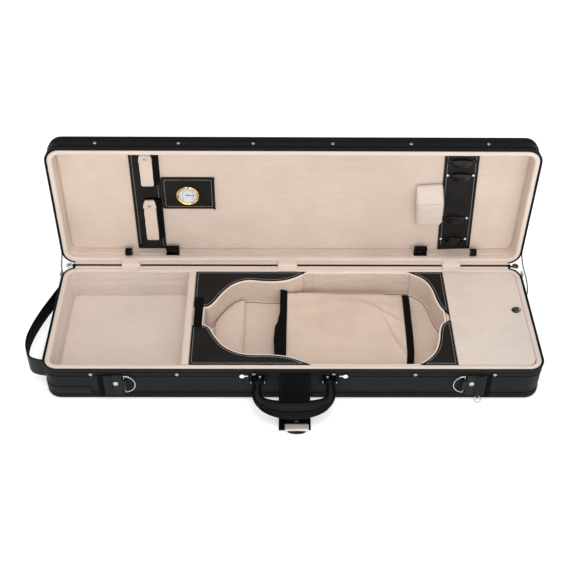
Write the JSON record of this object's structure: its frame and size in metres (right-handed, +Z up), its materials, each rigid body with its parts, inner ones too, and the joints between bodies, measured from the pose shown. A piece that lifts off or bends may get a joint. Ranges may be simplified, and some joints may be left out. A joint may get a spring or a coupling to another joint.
{
  "type": "violin case",
  "caption": "Open oblong violin case: padded base tray with a violin bay and end compartments, hinged lid with bow toggles, carrying handle and latch strap.",
  "frame": {"origin": "middle of the base's flat underside, on the surface it stands on", "axes": "+X along the case to the right seen from the front, +Y towards the hinges, +Z up; the lid stands open at a right angle"},
  "size_m": [0.8344, 0.363, 0.3116],
  "materials": {
    "nylon": "woven nylon cover cloth",
    "zip_tape": "woven zip tape",
    "wood_shell": "bare plywood, not seen",
    "plush": "short cream plush",
    "rim_plush": "cream plush over a firm edge",
    "blanket_cloth": "smooth peach-cream cloth",
    "leather": "semi-gloss black leather with pale stitching",
    "hook_and_loop": "black hook-and-loop tape",
    "moulded_black": "satin moulded black",
    "webbing": "black woven webbing",
    "chrome": "polished",
    "steel": "satin",
    "gold": "polished gold tone",
    "needle": "matt black",
    "clear_plastic": "clear and glossy"
  },
  "bodies": {
    "base": {"base_shell": "wood_shell", "base_cover": "nylon", "base_zip_tape": "zip_tape", "base_rim": "rim_plush", "base_lining": "plush", "divider_left": "rim_plush", "divider_right": "plush", "bay_insert": "plush", "panel_rear_left": "leather", "panel_front_left": "leather", "panel_rear_right": "leather", "panel_front_right": "leather", "bay_floor_pad": "plush", "upper_bout_pad": "plush", "lower_bout_pad": "plush", "hinge_left_base_leaf": "steel", "hinge_centre_base_leaf": "steel", "hinge_right_base_leaf": "steel", "handle_bracket_left": "chrome", "handle_bracket_right": "chrome", "d_ring_tab_left": "leather", "d_ring_tab_right": "leather", "end_handle_strap": "webbing", "end_handle_tab": "leather"},
    "lid": {"lid_shell": "wood_shell", "lid_cover": "nylon", "lid_zip_tape": "zip_tape", "lid_rim": "rim_plush", "lid_lining": "plush", "music_pocket": "nylon", "hinge_left_lid_leaf": "steel", "hinge_centre_lid_leaf": "steel", "hinge_right_lid_leaf": "steel", "bow_strip_left": "leather", "bow_strip_right": "leather", "bow_holder_upper": "moulded_black", "bow_holder_lower": "moulded_black", "hygrometer_plate": "leather", "hygrometer_case": "gold", "bow_cushion": "plush", "string_tube_clip_left": "moulded_black", "string_tube_clip_right": "moulded_black"},
    "blanket": {"blanket": "blanket_cloth"},
    "neck_strap": {"neck_strap": "hook_and_loop"},
    "accessory_lid": {"accessory_lid": "plush", "pull_plate": "chrome"},
    "pull_ring": {"pull_ring": "chrome"},
    "zip_slider_left": {"zip_slider_left": "steel"},
    "zip_slider_right": {"zip_slider_right": "steel"},
    "handle": {"handle_grip": "moulded_black"},
    "latch": {"latch_flap": "leather", "latch_catch": "chrome"},
    "d_ring_left": {"d_ring_left": "chrome"},
    "d_ring_right": {"d_ring_right": "chrome"},
    "bottom_ring": {"bottom_ring": "chrome"},
    "bow_toggle_upper": {"bow_toggle_upper": "plush"},
    "bow_toggle_lower": {"bow_toggle_lower": "plush"},
    "hygrometer_needle": {"hygrometer_needle": "needle"},
    "string_tube": {"string_tube": "clear_plastic"},
    "string_tube_cap": {"string_tube_cap": "moulded_black"}
  },
  "joints": [
    {"name": "lid_hinge", "type": "hinge", "parent": "base", "child": "lid", "pos_m": [0, 0.1228, 0.0688], "axis": [-1, 0, 0], "range_deg": [-90, 0]},
    {"name": "accessory_lid_hinge", "type": "hinge", "parent": "base", "child": "accessory_lid", "pos_m": [0.25905, 0, 0.0675], "axis": [0, -1, 0], "range_deg": [0, 100]},
    {"name": "pull_ring_hinge", "type": "hinge", "parent": "accessory_lid", "child": "pull_ring", "pos_m": [0.36625, 0.014, 0.0694], "axis": [0, -1, 0], "range_deg": [0, 110]},
    {"name": "neck_strap_hinge", "type": "hinge", "parent": "base", "child": "neck_strap", "pos_m": [-0.1555, 0.042, 0.0676], "axis": [-1, 0, 0], "range_deg": [0, 90]},
    {"name": "handle_hinge", "type": "hinge", "parent": "base", "child": "handle", "pos_m": [0, -0.127, 0.047], "axis": [-1, 0, 0], "range_deg": [0, 92]},
    {"name": "latch_hinge", "type": "hinge", "parent": "base", "child": "latch", "pos_m": [0.0015, -0.1199, 0.058], "axis": [-1, 0, 0], "range_deg": [0, 10]},
    {"name": "d_ring_left_hinge", "type": "hinge", "parent": "base", "child": "d_ring_left", "pos_m": [-0.266, -0.1222, 0.037], "axis": [0, 0, -1], "range_deg": [0, 110]},
    {"name": "d_ring_right_hinge", "type": "hinge", "parent": "base", "child": "d_ring_right", "pos_m": [0.269, -0.1222, 0.037], "axis": [0, 0, 1], "range_deg": [0, 110]},
    {"name": "bottom_ring_hinge", "type": "hinge", "parent": "base", "child": "bottom_ring", "pos_m": [0.294, -0.1208, 0.0078], "axis": [-1, 0, 0], "range_deg": [0, 80]},
    {"name": "zip_slider_left_slide", "type": "slide", "parent": "base", "child": "zip_slider_left", "axis": [0, -1, 0], "range_m": [0, 0.19]},
    {"name": "zip_slider_right_slide", "type": "slide", "parent": "base", "child": "zip_slider_right", "axis": [0, -1, 0], "range_m": [0, 0.19]},
    {"name": "blanket_lift", "type": "slide", "parent": "base", "child": "blanket", "axis": [0, 0, 1], "range_m": [0, 0.15]},
    {"name": "bow_toggle_upper_hinge", "type": "hinge", "parent": "lid", "child": "bow_toggle_upper", "pos_m": [-0.238, 0.141, 0.2826], "axis": [0, 1, 0], "range_deg": [0, 90]},
    {"name": "bow_toggle_lower_hinge", "type": "hinge", "parent": "lid", "child": "bow_toggle_lower", "pos_m": [-0.238, 0.141, 0.1886], "axis": [0, 1, 0], "range_deg": [0, 90]},
    {"name": "hygrometer_needle_hinge", "type": "hinge", "parent": "lid", "child": "hygrometer_needle", "pos_m": [-0.174, 0.1445, 0.2051], "axis": [0, -1, 0], "range_deg": [-130, 130], "stiffness_Nm_per_rad": 0.0001},
    {"name": "string_tube_slide", "type": "slide", "parent": "lid", "child": "string_tube", "axis": [-1, 0, 0], "range_m": [0, 0.055]},
    {"name": "string_tube_cap_slide", "type": "slide", "parent": "string_tube", "child": "string_tube_cap", "axis": [1, 0, 0], "range_m": [0, 0.035]}
  ]
}
